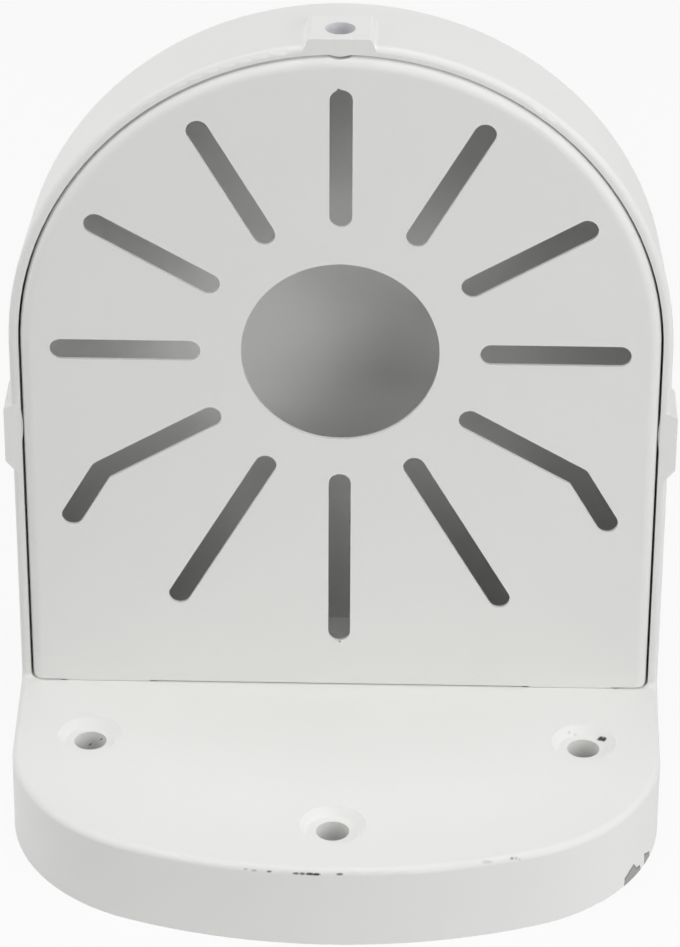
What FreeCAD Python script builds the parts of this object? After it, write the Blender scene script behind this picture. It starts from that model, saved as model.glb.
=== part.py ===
import FreeCAD
import Part
import math
import os

from FreeCAD import Vector

# Camera wall bracket, in millimetres
# A cast housing joins a shallow wall flange to an arched camera shell that stands on it.
# A slotted sheet plate closes the shell, hooked in at its foot and screwed through its sides.
# The bracket stands on the rim of the wall flange, on the plane z = 0, which meets the wall.
# +Z points away from the wall and -Y is the way the slotted plate faces.

# Slotted plate
sheet = 0.8
plate_half_width = 64.6
plate_bend_radius = 2.5
plate_flange_depth = 9.8
plate_corner_radius = 1.2
plate_foot_gap = 0.3
plate_lift = 0.12
plate_proud = 1.1
cable_hole_radius = 20.0

# Camera slots, struck from the centre of the cable hole
slot_count = 12
slot_width = 4.55
slot_inner_end = 28.15
slot_outer_end = 58.55
long_slot_outer_end = 68.6
bend_distance = 56.35
bent_leg_length = 12.3
bent_leg_slope = 60.0
long_hours = (5, 6, 7)
bent_hours = (4, 8)
own_outer_ends = {6: 68.45, 12: 58.0}

# Small nicks that the punch left in the outer ends of two slots: hour, sideways place, radius and tip
nicks = [(6, 0.1, 0.25, 68.95), (12, -0.48, 0.4, 58.3)]

# Hooks at the foot of the plate
tab_width = 17.4
tab_centre = 48.6
tab_length = 2.3
tab_foot_gap = 0.1
tab_relief = 0.15
tab_clearance = 0.1
tab_end_play = 1.4

# Camera shell
rim_clearance = 0.4
rim_wall = 2.05
shell_depth = 24.05
back_wall = 2.5
shell_draft = 1.15
ledge_width = 1.3
ledge_clearance = 0.2
inner_draft = 0.4
cavity_bevel = 2.4
back_bevel = 1.6
crown_wedges = 4

# Wall flange
hole_height = 95.6
flange_height = 16.3
flange_reach = 69.5
flange_front_radius = 114.4
flange_corner_radius = 40.0
flange_side_taper = 0.5
flange_wall = 2.6
edge_round = 1.35
foot_round = 1.0
cavity_corner_bevel = 1.0

# Wall screw holes
wall_hole_radius = 3.35
wall_recess_radius = 6.7
wall_recess_floor_radius = 5.1
wall_recess_depth = 1.6
side_hole_offset = 50.9
side_hole_setback = 20.4
front_hole_setback = 51.4
column_radius = 6.4
rib_thickness = 2.2
rib_relief = 1.5

# Cable passage between the shell and the wall flange
passage_half_width = 26.0
passage_front = 4.0
passage_length = 12.5
passage_corner = 4.0

# Screw bosses on the shell
boss_length = 12.0
top_boss_height = 1.15
side_boss_height = 1.45
top_boss_shift = -0.33
boss_top_half_width = 6.05
boss_spread = 1.2
boss_root = 2.7
side_boss_drop = 20.7
side_boss_half_height = 6.1
side_boss_upper_spread = 1.1
side_boss_lower_spread = 3.2
boss_recess_radius = 2.95
boss_recess_depth = 2.5
boss_hole_radius = 1.7
boss_hole_setback = 5.3
boss_edge_round = 0.7
boss_places = ["top", "left", "right"]
side_ridge_radius = 19.5
side_ridge_rise = 1.75
side_ridge_setback = 0.5
side_ridge_clearance = 0.05
top_ridge_radius = 5.5
top_ridge_setback = 0.1
top_ridge_sink = 0.2
crown_dent_radius = 5.5
crown_dent_depth = 0.72

# Plate screws
screw_radius = 1.5
screw_head_radius = 2.75
screw_head_height = 1.9
screw_head_bevel = 0.6
screw_length = 5.0
screw_socket_width = 2.0
screw_socket_depth = 1.1
collar_radius = 2.7
collar_length = 1.4
thread_clearance = 0.04
screw_places = ["left", "right"]

# Levels and planes that follow from the sizes above
past = 1.0
plate_y = (flange_reach - plate_proud - shell_depth) / 2
rim_y = plate_y + plate_proud
front_y = plate_y - flange_reach
back_y = rim_y + shell_depth
plate_inner_bevel = (2 - math.sqrt(2)) * (plate_bend_radius - sheet)
rim_half_width = plate_half_width + rim_clearance
shell_half_width = rim_half_width + rim_wall
ledge_depth = plate_flange_depth + ledge_clearance
ledge_half_width = rim_half_width - ledge_width
back_half_width = shell_half_width - shell_draft
arch_z = hole_height
plate_arch_z = arch_z + plate_lift
plate_foot_z = flange_height + plate_foot_gap
boss_y = rim_y + boss_hole_setback
side_boss_z = hole_height - side_boss_drop
side_hole_y = plate_y - side_hole_setback
front_hole_y = plate_y - front_hole_setback
web_z = flange_height - flange_wall
wall_hole_places = [(-side_hole_offset, side_hole_y), (side_hole_offset, side_hole_y), (0.0, front_hole_y)]


def line(start, end):
    return Part.LineSegment(start, end).toShape()


def arch_wire(half_width, centre_z, foot_z, y):
    """Closed arch in an upright plane: two straight legs under a half circle, which is some arcs."""
    left_foot = Vector(-half_width, y, foot_z)
    right_foot = Vector(half_width, y, foot_z)
    places = []
    for number in range(2 * crown_wedges + 1):
        turn = math.pi * number / (2 * crown_wedges)
        places.append(Vector(-half_width * math.cos(turn), y, centre_z + half_width * math.sin(turn)))
    edges = [line(left_foot, places[0])]
    for start, middle, end in zip(places[0::2], places[1::2], places[2::2]):
        edges.append(Part.Arc(start, middle, end).toShape())
    edges += [line(places[-1], right_foot), line(right_foot, left_foot)]
    return Part.Wire(edges)


def arch_prism(half_width, centre_z, foot_z, y, depth):
    """Arch carried straight back from the plane y."""
    face = Part.Face(arch_wire(half_width, centre_z, foot_z, y))
    return face.extrude(Vector(0, depth, 0))


def arch_taper(front_half_width, rear_half_width, centre_z, foot_z, y, depth):
    """Arch that narrows evenly towards the back: drafted legs under a half cone, which is some wedges."""
    corners = [
        Vector(-front_half_width, y, foot_z),
        Vector(front_half_width, y, foot_z),
        Vector(rear_half_width, y + depth, foot_z),
        Vector(-rear_half_width, y + depth, foot_z),
    ]
    legs = Part.Face(Part.makePolygon(corners + corners[:1])).extrude(Vector(0, 0, centre_z - foot_z))
    centre = Vector(0, y, centre_z)
    corners = [
        centre,
        centre + Vector(front_half_width, 0, 0),
        centre + Vector(rear_half_width, depth, 0),
        centre + Vector(0, depth, 0),
    ]
    profile = Part.Face(Part.makePolygon(corners + corners[:1]))
    sweep = 180 / crown_wedges
    wedges = []
    for number in range(crown_wedges):
        wedge = profile.revolve(centre, Vector(0, -1, 0), sweep)
        wedges.append(wedge.rotate(centre, Vector(0, -1, 0), number * sweep))
    return legs.fuse(wedges).removeSplitter()


def on_guides(place, guides, reach):
    """True where a point lies within reach of one of the guide wires."""
    return any(guide.distToShape(Part.Vertex(place))[0] <= reach for guide in guides)


def edges_along(shape, guides, reach=0.01):
    """Edges of a shape that follow the guide wires, tried at both ends and in the middle."""
    chosen = []
    for edge in shape.Edges:
        first = edge.FirstParameter
        last = edge.LastParameter
        places = [edge.valueAt(first), edge.valueAt((first + last) / 2), edge.valueAt(last)]
        if all(on_guides(place, guides, reach) for place in places):
            chosen.append(edge)
    return chosen


def flange_outline(inset, back):
    """D-shaped plan of the wall flange, moved inwards by inset and closed by a line at y = back."""
    half_width = shell_half_width - inset
    corner = flange_corner_radius - inset
    front_radius = flange_front_radius - inset
    arc_centre_y = front_y + flange_front_radius
    corner_x = half_width - flange_side_taper - corner
    corner_y = arc_centre_y - math.sqrt((front_radius - corner) ** 2 - corner_x ** 2)
    turn = math.atan2(corner_x, arc_centre_y - corner_y)
    middle_turn = (turn + math.pi / 2) / 2
    front = Vector(0, arc_centre_y - front_radius, 0)
    meet = Vector(front_radius * math.sin(turn), arc_centre_y - front_radius * math.cos(turn), 0)
    bulge = Vector(corner_x + corner * math.sin(middle_turn), corner_y - corner * math.cos(middle_turn), 0)
    side = Vector(half_width - flange_side_taper, corner_y, 0)
    foot = Vector(half_width, back, 0)
    left = [Vector(-place.x, place.y, 0) for place in (meet, bulge, side, foot)]
    edges = [
        line(left[3], left[2]),
        Part.Arc(left[2], left[1], left[0]).toShape(),
        Part.Arc(left[0], front, meet).toShape(),
        Part.Arc(meet, bulge, side).toShape(),
        line(side, foot),
        line(foot, left[3]),
    ]
    return Part.Wire(edges)


def outer_body():
    """Shell and wall flange as one closed body, with the edges that the casting has rounded."""
    shell = arch_taper(shell_half_width, back_half_width, arch_z, 0, rim_y, shell_depth)
    outline = flange_outline(0, rim_y)
    flange = Part.Face(outline).extrude(Vector(0, 0, flange_height))
    body = shell.fuse(flange).removeSplitter()
    foot = Vector(shell_half_width, rim_y, flange_height)
    foot_line = line(Vector(-foot.x, foot.y, foot.z), foot)
    body = body.makeFillet(foot_round, edges_along(body, [foot_line]))
    face_edges = Part.Wire(outline.Edges[:-1]).translated(Vector(0, 0, flange_height))
    rim_edges = Part.Wire(arch_wire(shell_half_width, arch_z, flange_height, rim_y).Edges[:-1])
    body = body.makeFillet(edge_round, edges_along(body, [face_edges, rim_edges], foot_round))
    back_edges = Part.Wire(arch_wire(back_half_width, arch_z, 0, back_y).Edges[:-1])
    return body.makeChamfer(back_bevel, edges_along(body, [back_edges]))


def boss_frame(place):
    """Point on the shell's middle line and outward direction of the axis of a boss."""
    if place == "top":
        return Vector(top_boss_shift, boss_y, arch_z), Vector(0, 0, 1)
    outward = Vector(-1, 0, 0) if place == "left" else Vector(1, 0, 0)
    return Vector(0, boss_y, side_boss_z), outward


def boss_face(place):
    """Distance from the shell's middle line to the flat top of a boss."""
    return shell_half_width + (top_boss_height if place == "top" else side_boss_height)


def plate_face(place):
    """Distance from the shell's middle line to the turned rim of the plate, at a boss."""
    return plate_half_width + (plate_lift if place == "top" else 0)


def boss_pad(place):
    """Raised pad with sloped flanks, flush with the rim's front plane, running back along the wall."""
    outer = boss_face(place)
    root = outer - boss_root
    if place == "top":
        half = boss_top_half_width
        corners = [
            Vector(top_boss_shift - half - boss_spread, rim_y, arch_z + root),
            Vector(top_boss_shift - half, rim_y, arch_z + outer),
            Vector(top_boss_shift + half, rim_y, arch_z + outer),
            Vector(top_boss_shift + half + boss_spread, rim_y, arch_z + root),
        ]
    else:
        sign = boss_frame(place)[1].x
        upper = side_boss_z + side_boss_half_height
        lower = side_boss_z - side_boss_half_height
        corners = [
            Vector(sign * root, rim_y, upper + side_boss_upper_spread),
            Vector(sign * outer, rim_y, upper),
            Vector(sign * outer, rim_y, lower),
            Vector(sign * root, rim_y, lower - side_boss_lower_spread),
        ]
    pad = Part.Face(Part.makePolygon(corners + corners[:1])).extrude(Vector(0, boss_length, 0))
    depth = Vector(0, boss_length, 0)
    crest = [line(corner, corner + depth) for corner in corners[1:3]]
    crest.append(line(corners[1] + depth, corners[2] + depth))
    return pad.makeFillet(boss_edge_round, edges_along(pad, crest))


def depth_bar(place, radius, crest, front, back, rise=0):
    """Round bar that runs along the depth, with its inner side at the distance crest."""
    middle, outward = boss_frame(place)
    centre = middle + outward * (crest + radius) + Vector(0, 0, rise)
    centre.y = front
    return Part.makeCylinder(radius, back - front, centre, Vector(0, 1, 0))


def inner_ridge(place):
    """Low ridge inside the shell at a boss: the crown's sinks into the dent of the plate's rim."""
    back = plate_y + ledge_depth
    if place == "top":
        front = rim_y + top_ridge_setback
        bar = depth_bar(place, top_ridge_radius, plate_face(place) - top_ridge_sink, front, back)
    else:
        front = rim_y + side_ridge_setback
        crest = plate_face(place) + side_ridge_clearance
        bar = depth_bar(place, side_ridge_radius, crest, front, back, side_ridge_rise)
    wall = arch_prism(shell_half_width - edge_round, arch_z, flange_height, front, back - front)
    return bar.common(wall)


def boss_bar(place, radius, start, end):
    """Round bar on the axis of a boss, between two distances from the shell's middle line."""
    middle, outward = boss_frame(place)
    return Part.makeCylinder(radius, end - start, middle + outward * start, outward)


def boss_hole(place):
    """Stepped hole of a boss: a recess for the screw head, then a hole through its floor."""
    outside = boss_face(place) + past
    recess = boss_bar(place, boss_recess_radius, boss_face(place) - boss_recess_depth, outside)
    return recess.fuse(boss_bar(place, boss_hole_radius, ledge_half_width - past, outside))


def is_foot_corner(edge):
    """True for the two edges of the plate's seat that run back from its lower corners."""
    heights = [vertex.Point.z for vertex in edge.Vertexes]
    return max(heights) < flange_height + past and abs(edge.tangentAt(edge.FirstParameter).y) > 0.5


def shell_cavity():
    """Hollow of the camera shell: a straight seat for the plate, a ledge, then a rounded chamber."""
    seat_y = rim_y - foot_round - past
    seat = arch_prism(rim_half_width, arch_z, flange_height, seat_y, plate_y + ledge_depth - seat_y)
    corners = [edge for edge in seat.Edges if is_foot_corner(edge)]
    seat = seat.makeFillet(plate_corner_radius, corners)
    chamber_y = plate_y + ledge_depth - past
    chamber_depth = back_y - back_wall - chamber_y
    chamber_back = ledge_half_width - inner_draft
    chamber = arch_taper(ledge_half_width, chamber_back, arch_z, flange_height, chamber_y, chamber_depth)
    back_edges = arch_wire(chamber_back, arch_z, flange_height, chamber_y + chamber_depth)
    chamber = chamber.makeChamfer(cavity_bevel, edges_along(chamber, [back_edges]))
    return seat.fuse(chamber)


def wall_columns():
    """Hollow columns round the wall screws, each with ribs to the nearest walls."""
    pieces = []
    for x, y in wall_hole_places:
        pieces.append(Part.makeCylinder(column_radius, web_z + past, Vector(x, y, 0)))
        if x:
            rib = Part.makeBox(shell_half_width - abs(x), rib_thickness, web_z + past - rib_relief)
            start = x if x > 0 else -shell_half_width
            pieces.append(rib.translated(Vector(start, y - rib_thickness / 2, rib_relief)))
        else:
            rib = Part.makeBox(rib_thickness, y - front_y, web_z + past - rib_relief)
            pieces.append(rib.translated(Vector(-rib_thickness / 2, front_y, rib_relief)))
    return pieces


def flange_cavity():
    """Hollow of the wall flange, open on the wall side, with the screw columns left standing."""
    outline = flange_outline(flange_wall, back_y - flange_wall)
    hollow = Part.Face(outline).extrude(Vector(0, 0, web_z + past))
    hollow.translate(Vector(0, 0, -past))
    top_edges = outline.translated(Vector(0, 0, web_z))
    hollow = hollow.makeChamfer(cavity_corner_bevel, edges_along(hollow, [top_edges]))
    return hollow.cut(wall_columns())


def wall_holes():
    """Stepped screw holes: a shallow tapered recess in the face, and the hole down its column."""
    tools = []
    for x, y in wall_hole_places:
        tools.append(Part.makeCylinder(wall_hole_radius, flange_height + 2 * past, Vector(x, y, -past)))
        floor = Vector(x, y, flange_height - wall_recess_depth)
        spread = (wall_recess_radius - wall_recess_floor_radius) / wall_recess_depth
        mouth_radius = wall_recess_radius + spread * past
        cone = Part.makeCone(wall_recess_floor_radius, mouth_radius, wall_recess_depth + past, floor)
        tools.append(cone)
    return tools


def passage():
    """Rounded opening in the web, for the cable between the wall flange and the shell."""
    box = Part.makeBox(2 * passage_half_width, passage_length, flange_wall + 2 * past)
    box.translate(Vector(-passage_half_width, plate_y + passage_front, web_z - past))
    upright = [edge for edge in box.Edges if abs(edge.tangentAt(edge.FirstParameter).z) > 0.5]
    return box.makeFillet(passage_corner, upright)


def foot_strip(side):
    """Part of the sheet above a hook, which reaches nearer to the wall flange."""
    bottom_z = flange_height + tab_foot_gap
    strip = Part.makeBox(tab_width, sheet, plate_foot_z + past - bottom_z)
    return strip.translated(Vector(side * tab_centre - tab_width / 2, plate_y, bottom_z))


def hook_box(side, end_play, clearance, top_z, bottom_z):
    """Block that a hook of the plate fills, or with its play the slot that it drops into."""
    width = tab_width + 2 * end_play
    box = Part.makeBox(width, sheet - tab_relief + 2 * clearance, top_z - bottom_z)
    left = side * tab_centre - width / 2
    box.translate(Vector(left, plate_y + tab_relief - clearance, bottom_z))
    return box


def make_housing():
    body = outer_body()
    body = body.fuse([boss_pad(place) for place in boss_places])
    body = body.cut(shell_cavity())
    body = body.fuse([inner_ridge(place) for place in boss_places])
    body = body.cut(flange_cavity())
    tools = wall_holes() + [passage()]
    for side in (-1, 1):
        tools.append(hook_box(side, tab_end_play, tab_clearance, flange_height + past, web_z - past))
    tools += [boss_hole(place) for place in boss_places]
    return body.cut(tools).removeSplitter()


def slot_tool(hour):
    """Round-ended slot for one hour of the clock, as a cutter that runs through the sheet."""
    angle = math.pi / 2 - 2 * math.pi * hour / slot_count
    along = Vector(math.cos(angle), 0, math.sin(angle))
    centre = Vector(0, plate_y - past, hole_height)
    radius = slot_width / 2
    depth = Vector(0, sheet + 2 * past, 0)
    start = centre + along * (slot_inner_end + radius)
    if hour in bent_hours:
        bend = centre + along * bend_distance
        side = 1 if along.x > 0 else -1
        slope = math.radians(bent_leg_slope)
        leg = Vector(side * math.cos(slope), 0, -math.sin(slope))
        return bent_slot(start, bend, bend + leg * bent_leg_length, radius, depth)
    usual_end = long_slot_outer_end if hour in long_hours else slot_outer_end
    end = centre + along * (own_outer_ends.get(hour, usual_end) - radius)
    return straight_slot(start, end, radius, depth)


def across(start, end, radius):
    """Sideways step from the middle line of a slot to its edge."""
    along = end - start
    along.normalize()
    return Vector(-along.z, 0, along.x) * radius


def straight_slot(start, end, radius, depth):
    step = across(start, end, radius)
    along = end - start
    along.normalize()
    edges = [
        line(start + step, end + step),
        Part.Arc(end + step, end + along * radius, end - step).toShape(),
        line(end - step, start - step),
        Part.Arc(start - step, start - along * radius, start + step).toShape(),
    ]
    return Part.Face(Part.Wire(edges)).extrude(depth)


def bent_slot(start, bend, end, radius, depth):
    """Slot with two legs that meet in a mitre, and round outer ends."""
    first = bend - start
    first.normalize()
    second = end - bend
    second.normalize()
    step_one = across(start, bend, radius)
    step_two = across(bend, end, radius)
    mitre = step_one + step_two
    mitre = mitre * (2 * radius ** 2 / mitre.Length ** 2)
    edges = [
        line(start + step_one, bend + mitre),
        line(bend + mitre, end + step_two),
        Part.Arc(end + step_two, end + second * radius, end - step_two).toShape(),
        line(end - step_two, bend - mitre),
        line(bend - mitre, start - step_one),
        Part.Arc(start - step_one, start - first * radius, start + step_one).toShape(),
    ]
    return Part.Face(Part.Wire(edges)).extrude(depth)


def nick(hour, offset, radius, tip):
    """Small round nick in the outer end of an upright slot."""
    upward = 1 if hour == slot_count else -1
    centre = Vector(offset, plate_y - past, hole_height + upward * (tip - radius))
    return Part.makeCylinder(radius, sheet + 2 * past, centre, Vector(0, 1, 0))


def crown_dent(thickness):
    """Bar that presses the dent into the rim at the crown, grown by the thickness of the sheet."""
    crest = plate_face("top") - crown_dent_depth - thickness
    return depth_bar("top", crown_dent_radius + thickness, crest, plate_y - past, plate_y + ledge_depth)


def folded_plate():
    """Arched sheet with its rim turned back along the sides and over the crown, where it is dented."""
    blank = arch_prism(plate_half_width, plate_arch_z, plate_foot_z, plate_y, plate_flange_depth)
    bend = Part.Wire(arch_wire(plate_half_width, plate_arch_z, plate_foot_z, plate_y).Edges[:-1])
    blank = blank.makeFillet(plate_bend_radius, edges_along(blank, [bend]))
    inner = plate_half_width - sheet
    inner_foot = plate_foot_z - past
    hollow = arch_prism(inner, plate_arch_z, inner_foot, plate_y + sheet, plate_flange_depth)
    inner_bend = Part.Wire(arch_wire(inner, plate_arch_z, inner_foot, plate_y + sheet).Edges[:-1])
    hollow = hollow.makeChamfer(plate_inner_bevel, edges_along(hollow, [inner_bend]))
    return blank.cut(hollow.cut(crown_dent(sheet)))


def plate_corner(side):
    """Cutter that rounds a lower corner of the folded plate."""
    corner = Vector(side * plate_half_width, plate_y - past, plate_foot_z)
    radius = plate_corner_radius
    depth = plate_flange_depth + 2 * past
    block = Part.makeBox(radius + past, depth, radius + past)
    block.translate(corner + Vector(-radius if side > 0 else -past, 0, -past))
    centre = corner + Vector(-side * radius, 0, radius)
    return block.cut(Part.makeCylinder(radius, depth, centre, Vector(0, 1, 0)))


def collar(place):
    """Tapped collar inside the turned rim of the plate, at a boss."""
    start = plate_face(place) - sheet - collar_length
    return boss_bar(place, collar_radius, start, plate_face(place) - sheet / 2)


def collar_hole(place):
    start = plate_face(place) - sheet - collar_length - past
    return boss_bar(place, screw_radius + thread_clearance, start, plate_face(place) + past)


def make_plate():
    plate = folded_plate().cut([plate_corner(side) for side in (-1, 1)])
    hook_end = flange_height - tab_length
    hooks = [hook_box(side, 0, 0, plate_foot_z + past, hook_end) for side in (-1, 1)]
    strips = [foot_strip(side) for side in (-1, 1)]
    plate = plate.fuse(hooks + strips + [collar(place) for place in boss_places])
    hole_centre = Vector(0, plate_y - past, hole_height)
    tools = [Part.makeCylinder(cable_hole_radius, sheet + 2 * past, hole_centre, Vector(0, 1, 0))]
    tools.append(crown_dent(0))
    tools += [collar_hole(place) for place in boss_places]
    tools += [slot_tool(hour) for hour in range(1, slot_count + 1)]
    tools += [nick(*places) for places in nicks]
    return plate.cut(tools).removeSplitter()


def make_screw(place):
    """Bevelled socket screw that seats on the floor of its boss recess and threads into a collar."""
    middle, outward = boss_frame(place)
    seat = middle + outward * (boss_face(place) - boss_recess_depth)
    head = Part.makeCylinder(screw_head_radius, screw_head_height, seat, outward)
    top = seat + outward * screw_head_height
    rim = [edge for edge in head.Edges if near_plane(edge, top, outward)]
    head = head.makeChamfer(screw_head_bevel, rim)
    shank = Part.makeCylinder(screw_radius, screw_length, seat - outward * screw_length, outward)
    socket = hexagon(top - outward * screw_socket_depth, outward)
    return head.fuse(shank).cut(socket).removeSplitter()


def near_plane(edge, point, normal):
    """True where an edge lies in the plane through a point."""
    return all(abs((vertex.Point - point).dot(normal)) < 0.01 for vertex in edge.Vertexes)


def hexagon(base, outward):
    """Six-sided socket cutter that starts at base and runs outwards."""
    reach = screw_socket_width / math.sqrt(3)
    sideways = Vector(0, 1, 0)
    upward = outward.cross(sideways)
    corners = []
    for step in range(6):
        turn = math.radians(60 * step)
        corners.append(base + sideways * (reach * math.cos(turn)) + upward * (reach * math.sin(turn)))
    face = Part.Face(Part.makePolygon(corners + corners[:1]))
    return face.extrude(outward * (screw_socket_depth + past))


def write(name, shape):
    solid = shape.Solids[0] if len(shape.Solids) == 1 else shape
    print(name, len(shape.Solids), shape.isValid(), round(shape.Volume, 1))
    solid.exportStep("parts/" + name + ".step")


os.makedirs("parts", exist_ok=True)
write("housing", make_housing())
write("camera_plate", make_plate())
for place in screw_places:
    write("plate_screw_" + place, make_screw(place))
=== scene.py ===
"""Looks of the camera wall bracket: a powder-coated casting, a slotted sheet plate and two screws."""

import math

import bmesh
import bpy
import numpy as np
from mathutils import Euler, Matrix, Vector


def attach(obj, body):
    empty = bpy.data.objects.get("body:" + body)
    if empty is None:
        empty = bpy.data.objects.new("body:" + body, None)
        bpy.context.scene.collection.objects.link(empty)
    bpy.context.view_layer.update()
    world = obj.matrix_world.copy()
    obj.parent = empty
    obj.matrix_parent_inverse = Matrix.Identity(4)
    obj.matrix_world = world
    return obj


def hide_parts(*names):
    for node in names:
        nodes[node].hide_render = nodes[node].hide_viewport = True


# Lengths are in metres where nothing else is said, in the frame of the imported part.
# The bracket stands on the wall plane z = 0, and its slotted plate faces the way of -Y.
MM = 0.001

# Camera, fitted to the edges of the plate, its round hole and its slots:
# place, turn in degrees, lens and sensor in millimetres, and the nearest that it sees
camera_place = (16.23 * MM, -713.435 * MM, 494.33 * MM)
camera_turn = (59.888, -0.194, 1.372)
camera_lens = 158.2
camera_sensor = 36.0
camera_near = 10 * MM

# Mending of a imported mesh: how near two corners are one,
# and the bend in degrees up to which faces are flat
weld_reach = 0.001 * MM
flat_angle = 0.05

# Softening of sharp edges under the coat: its widths and steps,
# and the bend in degrees from which an edge is sharp
coat_edge_width = 0.22 * MM
screw_edge_width = 0.08 * MM
edge_steps = 2
sharp_angle = 33.0

# Wall flange: its height, a height just above it, and between which heights its front edge is rolled.
# A face of that roll is slanted when the upward share of its normal lies between two limits.
flange_height = 16.3 * MM
flange_top = flange_height + 0.3 * MM
flange_roll = (14.9 * MM, flange_height + 0.01 * MM)
roll_slant = (0.02, 0.9999)

# Lean of the flange's front wall: how far its upper edge stands back, between which depths the lean
# sets in, and the depth of the front screw hole with the reach round it that stays upright
rim_lean = 2.2 * MM
lean_sets_in = (0.0, -20.0 * MM)
front_hole_depth = -29.2 * MM
front_hole_keep = 9.5 * MM

# Soft square lamps: name, place, width and power in watts. All look at one point of the bracket.
lamps = [
    ("overhead", (0.0, 0.0, 1.1), 0.6, 4.75),
    ("right_side", (0.85, -0.55, 0.42), 0.6, 3.5),
    ("right_front", (0.67, -0.75, 0.52), 0.6, 2.6),
    ("left_side", (-0.9, -0.3, 0.6), 0.6, 2.7),
    ("left_level", (-1.1, 0.0, 0.12), 0.4, 1.7),
    ("left_back", (-0.8, 0.4, 0.5), 0.5, 0.8),
    ("right_back", (0.8, 0.4, 0.5), 0.5, 0.55),
]
lamp_aim = (0.0, 0.0, 0.08)
world_strength = 0.1

# Floor: its width, the gap under the rim, so that their faces don't lie in one plane,
# and the share of it that is lit like paper and takes the shadow, beside plain white
floor_width = 4.0
floor_gap = 0.02 * MM
shadow_share = 0.10

# Colours, as linear shares of red, green and blue
white = (1.0, 1.0, 1.0)
coat_colour = (0.870, 0.870, 0.856)
coat_shade_colour = (0.855, 0.855, 0.838)
primer_colour = (0.70, 0.70, 0.74)
zinc_colour = (0.62, 0.62, 0.63)
zinc_dull_colour = (0.52, 0.52, 0.53)
bare_colour = (0.36, 0.36, 0.355)
# painted shade under the torn coat at the upper edge of the rim chips
torn_edge_shade_colour = (0.17, 0.17, 0.165)
# Dark marks on the flange: smears, and painted shade in the nicks and on the right wall hole's recess
# wall
dark_mark_and_shade_colour = (0.03, 0.03, 0.03)
floor_colour = (0.70, 0.70, 0.70)

# Powder coat: the orange peel of its skin, the clouds of its tone,
# and its roughness, which rises with the peel
peel_size = 0.9 * MM
peel_roughness = 0.45
peel_strength = 0.12
peel_depth = 0.03 * MM
cloud_size = 22 * MM
cloud_detail = 3.0
cloud_contrast = 1.6
coat_roughness = 0.50
coat_roughness_rise = 0.08

# Zinc plating: its mottle, and its roughness, which rises with the mottle
mottle_size = 0.8 * MM
mottle_detail = 3.0
zinc_roughness = 0.24
zinc_roughness_rise = 0.18

# Nicks, smears and painted shade on the wall flange, in millimetres: how dark, the middle and the half
# sizes.
# The nicks along the front edge are chips, painted dark with the shade inside them;
# the specks at the right wall hole are painted shade on the wall of its recess.
nick_reach = 0.32
nicks_and_shade_specks = [
    (0.3, (-16.8, -43.9, 15.5), (0.6, nick_reach, nick_reach)),
    (0.4, (-15.1, -44.1, 15.4), (0.75, nick_reach, nick_reach)),
    (0.75, (-12.1, -44.45, 15.45), (0.65, nick_reach, nick_reach)),
    (0.8, (-6.8, -44.9, 15.4), (0.9, nick_reach, nick_reach)),
    (0.8, (-5.6, -44.95, 15.4), (0.75, nick_reach, nick_reach)),
    (0.97, (-4.1, -45.0, 15.4), (1.1, nick_reach, 0.36)),
    (1.0, (-2.9, -45.1, 15.4), (1.1, nick_reach, 0.36)),
    (0.8, (1.75, -45.05, 15.5), (0.9, nick_reach, nick_reach)),
    (0.2, (30.7, -40.5, 15.8), (1.6, 0.5, 0.4)),
    (0.55, (35.7, -39.1, 15.75), (0.5, 0.4, 0.4)),
    (0.3, (36.5, -38.95, 15.7), (0.5, 0.4, 0.35)),
    (0.2, (37.2, -38.9, 15.4), (0.35, 0.4, 0.4)),
    (1.0, (54.6, 5.3, 14.8), (0.95, 0.75, 0.75)),
    (1.0, (55.3, 4.9, 15.0), (0.8, 0.65, 0.65)),
    (0.18, (48.1, 6.75, 15.3), (0.4, 0.5, 0.5)),
    (0.12, (49.3, 6.7, 14.8), (0.6, 0.5, 0.5)),
]

# Dark line across the left wall hole, in millimetres: its two ends, its half width and how dark it is
left_hole_line = ((-51.4, 5.1, 11.4), (-48.5, 4.3, 13.6))
left_hole_line_reach = 0.2
left_hole_line_darkness = 0.8

# How fast a mark darkens towards its middle,
# and the size and reach in millimetres of the noise that frays its rim
mark_firmness = 2.0
mark_grain = 0.5
mark_raggedness = 0.2

# Two chips that reach up from the foot of the rim at its right corner, in millimetres:
# how high they reach at each depth, and the height that full white stands for in their ramp
rim_chips = [
    (-25.9, 0.0), (-25.6, 1.8), (-24.1, 2.65), (-22.5, 3.25), (-22.2, 2.7), (-21.5, 1.7), (-20.2, 1.45),
    (-19.9, 0.0), (-18.35, 0.0), (-18.1, 2.75), (-17.1, 2.2), (-15.4, 1.5), (-15.0, 0.0),
]
chip_top = 4.0

# Soft edge of the chips, the band of painted shade along the torn coat inside it, and how far to the
# side they begin with the width over which they come up, in millimetres
chip_softness = 0.25
torn_edge_shade_width = 0.9
chip_side = 50.0
chip_side_fade = 1.0

# Empty screw hole at the crown, whose wall is bare primer, in millimetres: its middle and half sizes
crown_hole_middle = (-0.33, 28.6, 161.0)
crown_hole_reach = (4.9, 4.9, 4.0)

# Sockets of the colour side of a Mix node
COLOUR_INPUTS = {"A": 6, "B": 7}
COLOUR_OUTPUT = 2


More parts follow.
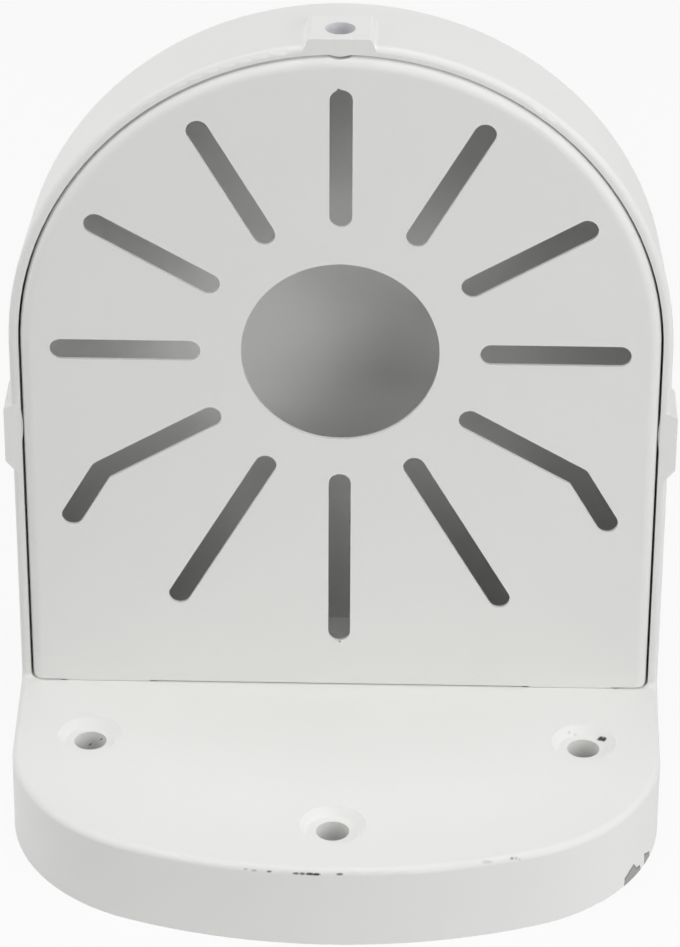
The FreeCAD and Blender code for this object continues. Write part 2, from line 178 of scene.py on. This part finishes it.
class Signal:
    """One output socket of a recipe, on which arithmetic adds Math nodes."""

    def __init__(self, recipe, socket):
        self.recipe = recipe
        self.socket = socket

    def maths(self, operation, *values):
        return self.recipe.node("ShaderNodeMath", {"operation": operation}, dict(enumerate(values)))

    def __add__(self, other):
        return self.maths("ADD", self, other)

    def __radd__(self, other):
        return self.maths("ADD", other, self)

    def __sub__(self, other):
        return self.maths("SUBTRACT", self, other)

    def __rsub__(self, other):
        return self.maths("SUBTRACT", other, self)

    def __mul__(self, other):
        return self.maths("MULTIPLY", self, other)

    def __rmul__(self, other):
        return self.maths("MULTIPLY", other, self)

    def at_least(self, other):
        return self.maths("MAXIMUM", self, other)

    def at_most(self, other):
        return self.maths("MINIMUM", self, other)

    def clipped(self):
        """The signal held between 0 and 1."""
        return self.at_least(0.0).at_most(1.0)

    def share_of(self, length):
        """The signal as a share of a length, held between 0 and 1."""
        return (self * (1.0 / length)).clipped()

    def contrasted(self, gain):
        """One half plus the signal's distance from one half times the gain, held between 0 and 1."""
        return (self * gain + (0.5 - 0.5 * gain)).clipped()

    def firmed(self, darkness):
        """The signal times the firmness of marks, held below 1, all times how dark the mark is."""
        return (self * (mark_firmness * darkness)).at_most(darkness)


class Recipe:
    """Nodes of a finish, or of the light round the bracket, which are all made by one method."""

    def __init__(self, owner):
        self.owner = owner
        owner.use_nodes = True
        self.tree = owner.node_tree
        self.tree.nodes.clear()

    def node(self, kind, settings=None, inputs=None, output=0):
        """Adds a node: its settings first, then the values or links of its sockets."""
        node = self.tree.nodes.new(kind)
        for name, value in (settings or {}).items():
            if name == "stops":
                self.set_stops(node.color_ramp, value)
            else:
                setattr(node, name, value)
        for name, value in (inputs or {}).items():
            if isinstance(value, Signal):
                self.tree.links.new(value.socket, node.inputs[name])
            else:
                node.inputs[name].default_value = value
        return Signal(self, node.outputs[output]) if node.outputs else None

    def set_stops(self, ramp, stops):
        """Places the stops of a colour ramp, each a position and a grey level."""
        while len(ramp.elements) < len(stops):
            ramp.elements.new(0.5)
        for element, (position, level) in zip(ramp.elements, stops):
            element.position = position
            element.color = (level, level, level, 1.0)

    def place(self):
        return self.node("ShaderNodeTexCoord", output="Object")

    def along(self, place, axis):
        """One coordinate of a place."""
        return self.node("ShaderNodeSeparateXYZ", None, {0: place}, axis)

    def vector(self, operation, values, output="Vector"):
        """Vector Math node, with its inputs by their numbers."""
        return self.node("ShaderNodeVectorMath", {"operation": operation}, values, output)

    def grain(self, place, size, detail=2.0, roughness=0.5, output="Fac"):
        """Soft noise whose features are about one size across, from 0 to 1."""
        inputs = {"Vector": place, "Scale": 1.0 / size, "Detail": detail, "Roughness": roughness}
        return self.node("ShaderNodeTexNoise", {"noise_dimensions": "3D"}, inputs, output)

    def ragged(self, place, size, raggedness):
        """The place moved about by a fine noise, so that the rim of a mark is uneven."""
        noise = self.grain(place, size, output="Color")
        shift = self.vector("SUBTRACT", {0: noise, 1: (0.5, 0.5, 0.5)})
        scaled = self.vector("SCALE", {0: shift, "Scale": raggedness})
        return self.vector("ADD", {0: place, 1: scaled})

    def speck(self, place, darkness, middle, reach):
        """Ellipsoid mark: 1 less the distance from its middle, measured in its half sizes, firmed up."""
        away = self.vector("SUBTRACT", {0: place, 1: Vector(middle) * MM})
        share = self.vector("DIVIDE", {0: away, 1: Vector(reach) * MM})
        return (1.0 - self.vector("LENGTH", {0: share}, "Value")).firmed(darkness)

    def streak(self, place, darkness, ends, reach):
        """Line mark: 1 less the distance from the straight line between two ends, as a share of
        its half width, firmed up."""
        start = Vector(ends[0]) * MM
        run = Vector(ends[1]) * MM - start
        away = self.vector("SUBTRACT", {0: place, 1: start})
        share = self.vector("DOT_PRODUCT", {0: away, 1: run / run.length_squared}, "Value").clipped()
        nearest = self.vector("SCALE", {0: run, "Scale": share})
        gap = self.vector("DISTANCE", {0: away, 1: nearest}, "Value")
        return (1.0 - gap.share_of(reach * MM)).firmed(darkness)

    def blend(self, mask, first, second):
        """Colour that goes from the first to the second as the mask rises."""
        inputs = {"Factor": mask}
        for name, value in (("A", first), ("B", second)):
            inputs[COLOUR_INPUTS[name]] = value if isinstance(value, Signal) else (*value, 1.0)
        return self.node("ShaderNodeMix", {"data_type": "RGBA"}, inputs, COLOUR_OUTPUT)

    def sees_background(self):
        """1 for rays from the camera and for those that a gloss or a glass sends on, 0 for the rest."""
        kinds = ("Is Camera Ray", "Is Glossy Ray", "Is Transmission Ray")
        seen = [self.node("ShaderNodeLightPath", output=kind) for kind in kinds]
        return (seen[0] + seen[1] + seen[2]).clipped()

    def mixed(self, share, first, second):
        """Shader that goes from the first to the second as the share rises."""
        return self.node("ShaderNodeMixShader", None, {0: share, 1: first, 2: second})

    def output(self, shader, kind="ShaderNodeOutputMaterial"):
        self.node(kind, None, {"Surface": shader})


def new_finish(name):
    return Recipe(bpy.data.materials.new(name))


def dark_marks_and_shade(finish, place):
    """Dark marks, as the strongest at each place of the nicks, the smears, the specks of painted shade
    at the right wall hole and the dark line in the left wall hole. The nicks' darkness is partly painted
    shade.
    """
    dark = finish.streak(place, left_hole_line_darkness, left_hole_line, left_hole_line_reach)
    for darkness, middle, reach in nicks_and_shade_specks:
        dark = dark.at_least(finish.speck(place, darkness, middle, reach))
    return dark.clipped()


def rim_chip_depth(finish, place):
    """How far a place lies below the upper edge of the rim chips, whose height is a ramp along Y."""
    first = rim_chips[0][0]
    length = rim_chips[-1][0] - first
    stops = [((y - first) / length, height / chip_top) for y, height in rim_chips]
    share = (finish.along(place, "Y") - first * MM).share_of(length * MM)
    level = finish.node("ShaderNodeValToRGB", {"stops": stops}, {"Fac": share}, "Color")
    return level * (chip_top * MM) - finish.along(place, "Z")


def worn_and_shaded_flange(finish, place, shade):
    """Colour of the marked coat and how much of it is metal: the dark marks, partly painted shade, lie
    on the tone of the coat, and inside the rim chips the bare casting shows, with painted shade along
    the torn coat."""
    uneven = finish.ragged(place, mark_grain * MM, mark_raggedness * MM)
    depth = rim_chip_depth(finish, uneven)
    at_side = (finish.along(place, "X") - chip_side * MM).share_of(chip_side_fade * MM)
    bare = depth.share_of(chip_softness * MM) * at_side
    # painted shade along the torn coat, fading into the bare casting
    metal = finish.blend(depth.share_of(torn_edge_shade_width * MM), torn_edge_shade_colour, bare_colour)
    # Dark marks over the coat's tone: smears, and painted shade in the nicks and in the right wall
    # hole's recess
    marked_and_shaded = finish.blend(dark_marks_and_shade(finish, uneven), shade, dark_mark_and_shade_colour)
    return finish.blend(bare, marked_and_shaded, metal), bare


def primed_crown_hole(finish, place, shade):
    """Colour of the clean coat, with primer in the empty screw hole at the crown."""
    hole = finish.speck(place, 1.0, crown_hole_middle, crown_hole_reach).clipped()
    return finish.blend(hole, shade, primer_colour)


def powder_coat(name, marked=False):
    """Off-white satin powder coat: a fine orange-peel skin with a slight unevenness of tone and
    gloss. The marked coat is the wall flange's, with its nicks, its smears and its two chips, and with
    painted shade in the nicks, along the chips' torn coat and at the right wall hole."""
    finish = new_finish(name)
    place = finish.place()
    peel = finish.grain(place, peel_size, roughness=peel_roughness)
    cloud = finish.grain(place, cloud_size, detail=cloud_detail).contrasted(cloud_contrast)
    shade = finish.blend(cloud, coat_shade_colour, coat_colour)
    skin = {"Strength": peel_strength, "Distance": peel_depth, "Height": peel}
    surface = {
        "Roughness": coat_roughness + peel * coat_roughness_rise,
        "Normal": finish.node("ShaderNodeBump", None, skin),
    }
    if marked:
        surface["Base Color"], surface["Metallic"] = worn_and_shaded_flange(finish, place, shade)
    else:
        surface["Base Color"] = primed_crown_hole(finish, place, shade)
    finish.output(finish.node("ShaderNodeBsdfPrincipled", None, surface))
    return finish.owner


def zinc_plate(name):
    """Bright zinc on a small steel screw, with a faint mottle."""
    finish = new_finish(name)
    mottle = finish.grain(finish.place(), mottle_size, detail=mottle_detail)
    surface = {
        "Base Color": finish.blend(mottle, zinc_dull_colour, zinc_colour),
        "Metallic": 1.0,
        "Roughness": zinc_roughness + mottle * zinc_roughness_rise,
    }
    finish.output(finish.node("ShaderNodeBsdfPrincipled", None, surface))
    return finish.owner


def white_paper(name):
    """White floor: seen directly it is mostly plain white, with a share that takes the shadow."""
    finish = new_finish(name)
    paper = finish.node("ShaderNodeBsdfDiffuse", None, {"Color": (*floor_colour, 1.0)})
    plain = finish.node("ShaderNodeEmission", None, {"Color": (*white, 1.0), "Strength": 1.0})
    finish.output(finish.mixed(finish.sees_background() * (1.0 - shadow_share), paper, plain))
    return finish.owner


def even_roll(work):
    """Turns the inner edges between the slanted faces of the flange's rolled front edge, where the
    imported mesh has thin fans, to where neighbours bend least."""
    low, high = flange_roll
    level, steep = roll_slant
    faces = []
    for face in work.faces:
        if low < face.calc_center_median().z < high and level < face.normal.z < steep:
            faces.append(face)
    chosen = set(faces)
    inner = []
    for edge in work.edges:
        if len(edge.link_faces) == 2 and chosen.issuperset(edge.link_faces):
            inner.append(edge)
    bmesh.ops.beautify_fill(work, faces=faces, edges=inner, use_restrict_tag=False, method="ANGLE")


def lean_rim(mesh):
    """Leans the flange's front wall: a point moves back by rim_lean * z / flange_height * share.
    The share goes smoothly from 0 to 1 between two depths, as 3 t squared less 2 t cubed, and is 0
    above the flange and round the front hole."""
    places = np.empty(3 * len(mesh.vertices))
    mesh.vertices.foreach_get("co", places)
    places = places.reshape(-1, 3)
    x, y, z = places.T
    begin, full = lean_sets_in
    share = np.clip((begin - y) / (begin - full), 0, 1)
    share = share * share * (3 - 2 * share)
    share[(z > flange_top) | (np.hypot(x, y - front_hole_depth) < front_hole_keep)] = 0
    places[:, 1] = y + rim_lean * z / flange_height * share
    mesh.vertices.foreach_set("co", places.ravel())


def soften_edges(piece, width):
    """Rounds the sharp edges and keeps the flat faces shaded flat."""
    rounding = piece.modifiers.new("rounded_edges", "BEVEL")
    rounding.width = width
    rounding.segments = edge_steps
    rounding.limit_method = "ANGLE"
    rounding.angle_limit = math.radians(sharp_angle)
    rounding.harden_normals = False
    rounding.miter_outer = "MITER_ARC"
    weighting = piece.modifiers.new("flat_faces_stay_flat", "WEIGHTED_NORMAL")
    weighting.keep_sharp = False


def welded_copy(node, name, edge_width, with_flange=False):
    """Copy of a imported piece: corners welded, flat faces joined, sharp edges rounded, curves shaded
    smooth. The one with the wall flange gets its rolled edge evened and its front wall leaned."""
    mesh = node.data.copy()
    mesh.name = name
    work = bmesh.new()
    work.from_mesh(mesh)
    bmesh.ops.remove_doubles(work, verts=work.verts, dist=weld_reach)
    if with_flange:
        even_roll(work)
    bend = math.radians(flat_angle)
    bmesh.ops.dissolve_limit(
        work, angle_limit=bend, verts=work.verts, edges=work.edges, use_dissolve_boundaries=False)
    for face in work.faces:
        face.smooth = True
    work.to_mesh(mesh)
    work.free()
    if with_flange:
        lean_rim(mesh)
    mesh.set_sharp_from_angle(angle=math.radians(sharp_angle))
    piece = bpy.data.objects.new(name, mesh)
    bpy.context.scene.collection.objects.link(piece)
    soften_edges(piece, edge_width)
    return piece


def dress(piece, material, slot, *nodes):
    """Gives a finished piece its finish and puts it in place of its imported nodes."""
    piece.data.materials.clear()
    piece.data.materials.append(material)
    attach(piece, "root")
    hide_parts(*nodes)


def finish_below(piece, material, height):
    """Gives the faces whose middle lies below a height the finish, as the piece's last one."""
    piece.data.materials.append(material)
    for face in piece.data.polygons:
        if face.center.z < height:
            face.material_index = len(piece.data.materials) - 1


def make_camera():
    lens = bpy.data.cameras.new("view")
    lens.lens = camera_lens
    lens.sensor_width = camera_sensor
    lens.sensor_fit = "AUTO"
    lens.clip_start = camera_near
    camera = bpy.data.objects.new("view", lens)
    camera.location = camera_place
    camera.rotation_euler = Euler([math.radians(angle) for angle in camera_turn])
    bpy.context.scene.collection.objects.link(camera)
    bpy.context.scene.camera = camera


def make_floor():
    """Flat square under the bracket: its four corners stand half a width from the middle."""
    side = floor_width / 2
    turns = ((-1, -1), (1, -1), (1, 1), (-1, 1))
    corners = [(side * across, side * deep, -floor_gap) for across, deep in turns]
    mesh = bpy.data.meshes.new("floor")
    mesh.from_pydata(corners, [], [(0, 1, 2, 3)])
    floor = bpy.data.objects.new("floor", mesh)
    floor.data.materials.append(white_paper("white_paper"))
    bpy.context.scene.collection.objects.link(floor)


def soft_lamp(name, place, width, power):
    """Square area lamp that looks at the bracket."""
    lamp = bpy.data.lights.new(name, "AREA")
    lamp.shape = "SQUARE"
    lamp.size = width
    lamp.energy = power
    lit = bpy.data.objects.new(name, lamp)
    lit.location = place
    lit.rotation_euler = (Vector(lamp_aim) - Vector(place)).to_track_quat("-Z", "Y").to_euler()
    bpy.context.scene.collection.objects.link(lit)


def make_world():
    """Even light from all round, seen as plain white behind the bracket and in its gloss."""
    world = bpy.data.worlds.new("studio")
    room = Recipe(world)
    soft = room.node("ShaderNodeBackground", None, {"Color": (*white, 1.0), "Strength": world_strength})
    plain = room.node("ShaderNodeBackground", None, {"Color": (*white, 1.0), "Strength": 1.0})
    room.output(room.mixed(room.sees_background(), soft, plain), "ShaderNodeOutputWorld")
    bpy.context.scene.world = world


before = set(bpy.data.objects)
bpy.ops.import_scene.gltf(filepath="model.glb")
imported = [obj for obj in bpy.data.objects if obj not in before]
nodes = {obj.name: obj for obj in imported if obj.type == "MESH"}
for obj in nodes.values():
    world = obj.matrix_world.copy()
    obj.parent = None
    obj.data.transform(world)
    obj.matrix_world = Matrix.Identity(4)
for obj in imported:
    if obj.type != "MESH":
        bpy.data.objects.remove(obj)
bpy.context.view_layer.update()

coat = powder_coat("powder_coat")
housing = welded_copy(nodes["housing"], "housing_coated", coat_edge_width, with_flange=True)
dress(housing, coat, "coated_casting", "housing")
finish_below(housing, powder_coat("marked_powder_coat", marked=True), flange_top)
plate = welded_copy(nodes["camera_plate"], "camera_plate_coated", coat_edge_width)
dress(plate, coat, "coated_sheet", "camera_plate")
zinc = zinc_plate("bright_zinc")
for side in ("left", "right"):
    screw = welded_copy(nodes["plate_screw_" + side], "screw_" + side, screw_edge_width)
    dress(screw, zinc, "plated_steel", "plate_screw_" + side)

make_camera()
make_floor()
make_world()
for name, place, width, power in lamps:
    soft_lamp(name, place, width, power)
bpy.context.scene.view_settings.view_transform = "Standard"
